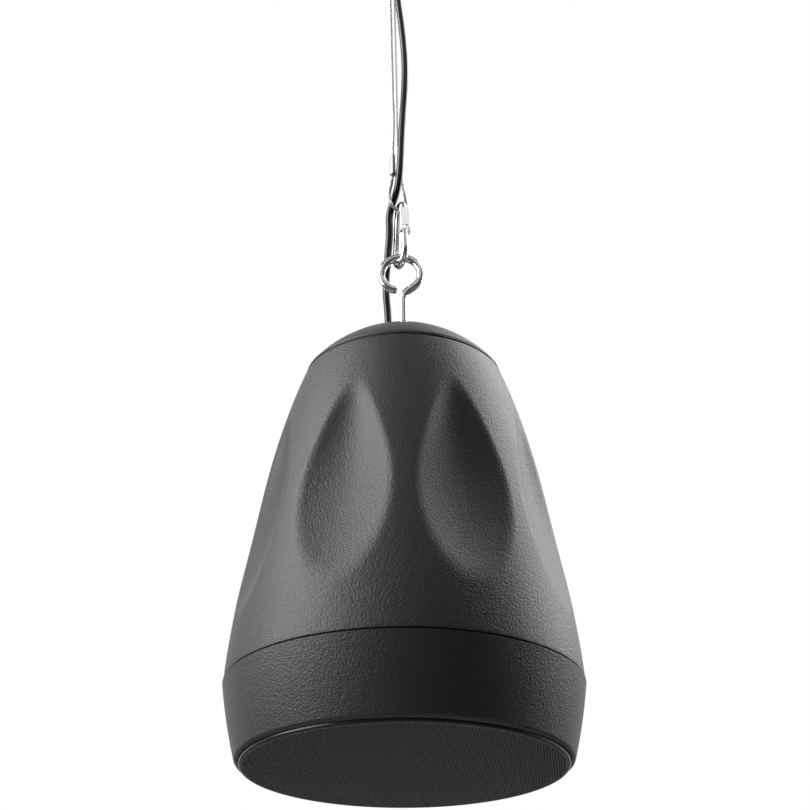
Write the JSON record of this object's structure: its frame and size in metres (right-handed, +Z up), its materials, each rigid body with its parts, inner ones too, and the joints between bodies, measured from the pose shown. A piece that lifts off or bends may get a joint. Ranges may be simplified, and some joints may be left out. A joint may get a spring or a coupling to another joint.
{
  "type": "pendant speaker",
  "caption": "Black bell-shaped pendant loudspeaker with a perforated base grille, hung from a ceiling plate by a steel rope sling, a snap hook and an eye hook, with its cable alongside.",
  "frame": {"origin": "centre of the ceiling plate's top face, where it meets the ceiling", "axes": "+Z up; the speaker hangs along -Z, with its own axis 9.9 mm towards +X; -Y is the side that the picture shows"},
  "size_m": [0.2798, 0.2798, 0.8325],
  "materials": {
    "housing_plastic": "black moulded ABS with a fine leather grain",
    "grille_steel": "black powder-coated perforated steel",
    "seal_rubber": "black rubber",
    "bright_steel": "polished steel wire and sheet",
    "rope_steel": "stranded steel wire rope",
    "ferrule_aluminium": "pressed aluminium",
    "zinc_steel": "zinc-plated steel",
    "ceiling_paint": "white powder coat",
    "cable_jacket": "black PVC jacket",
    "black_nylon": "black nylon",
    "terminal_plastic": "pale nylon",
    "core_steel": "varnished laminated steel",
    "winding_tape": "yellow insulating tape",
    "copper_wire": "enamelled copper wire",
    "board_laminate": "green glass-fibre laminate",
    "capacitor_film": "red dipped film",
    "resistor_ceramic": "white cement",
    "wadding_fibre": "polyester wadding",
    "grille_fabric": "black acoustic cloth",
    "frame_paint": "black stamped steel",
    "pole_steel": "plated low-carbon steel",
    "ferrite": "dark ferrite",
    "cone_paper": "black pulp paper",
    "spider_cloth": "resin-dipped cloth",
    "tweeter_plastic": "black plastic",
    "dome_silk": "coated silk"
  },
  "bodies": {
    "root": {"baffle_screws": "zinc_steel", "baffle_skirt": "housing_plastic", "board_connectors": "black_nylon", "board_screws": "zinc_steel", "board_spacers": "black_nylon", "cable_gland": "black_nylon", "cable_tail": "cable_jacket", "cap_gasket": "seal_rubber", "cap_nut": "zinc_steel", "cap_seal": "seal_rubber", "cap_washer": "zinc_steel", "ceiling_eye": "bright_steel", "ceiling_grommet": "seal_rubber", "ceiling_plate": "ceiling_paint", "crossover_board": "board_laminate", "crossover_capacitors": "capacitor_film", "crossover_choke": "copper_wire", "crossover_resistor": "resistor_ceramic", "damping_wadding": "wadding_fibre", "deck_grommet": "seal_rubber", "deck_lead": "cable_jacket", "deck_nuts": "zinc_steel", "deck_washers": "zinc_steel", "eye_hook": "bright_steel", "gate_rivet": "bright_steel", "gland_locknut": "black_nylon", "grille": "grille_steel", "grille_cloth": "grille_fabric", "housing_gasket": "seal_rubber", "load_plate": "zinc_steel", "magnet": "ferrite", "rear_housing": "housing_plastic", "rope_ferrule": "ferrule_aluminium", "snap_hook": "bright_steel", "speaker_cable": "cable_jacket", "spider": "spider_cloth", "surround": "seal_rubber", "suspension_rope": "rope_steel", "terminal_block": "terminal_plastic", "terminal_screws": "zinc_steel", "top_cap": "housing_plastic", "top_plate": "pole_steel", "transformer_bracket": "zinc_steel", "transformer_core": "core_steel", "transformer_screws": "zinc_steel", "transformer_winding": "winding_tape", "tweeter_dome": "dome_silk", "tweeter_housing": "tweeter_plastic", "tweeter_post": "pole_steel", "tweeter_waveguide": "tweeter_plastic", "woofer_frame": "frame_paint", "woofer_gasket": "seal_rubber", "woofer_lead": "cable_jacket", "woofer_screws": "zinc_steel", "woofer_terminals": "board_laminate", "yoke": "pole_steel"},
    "snap_gate": {"snap_gate": "bright_steel"},
    "cone": {"woofer_cone": "cone_paper", "voice_coil": "copper_wire"}
  },
  "joints": [
    {"name": "gate_hinge", "type": "hinge", "parent": "root", "child": "snap_gate", "pos_m": [0.01045, -0.00705, -0.33], "axis": [0.9361, 0.3518, 0], "range_deg": [0, 25], "stiffness_Nm_per_rad": 0.02, "springref_deg": -20.05},
    {"name": "cone_travel", "type": "slide", "parent": "root", "child": "cone", "axis": [0, 0, 1], "range_m": [-0.004, 0.004], "stiffness_N_per_m": 1800, "deforming": ["surround", "spider"]}
  ]
}
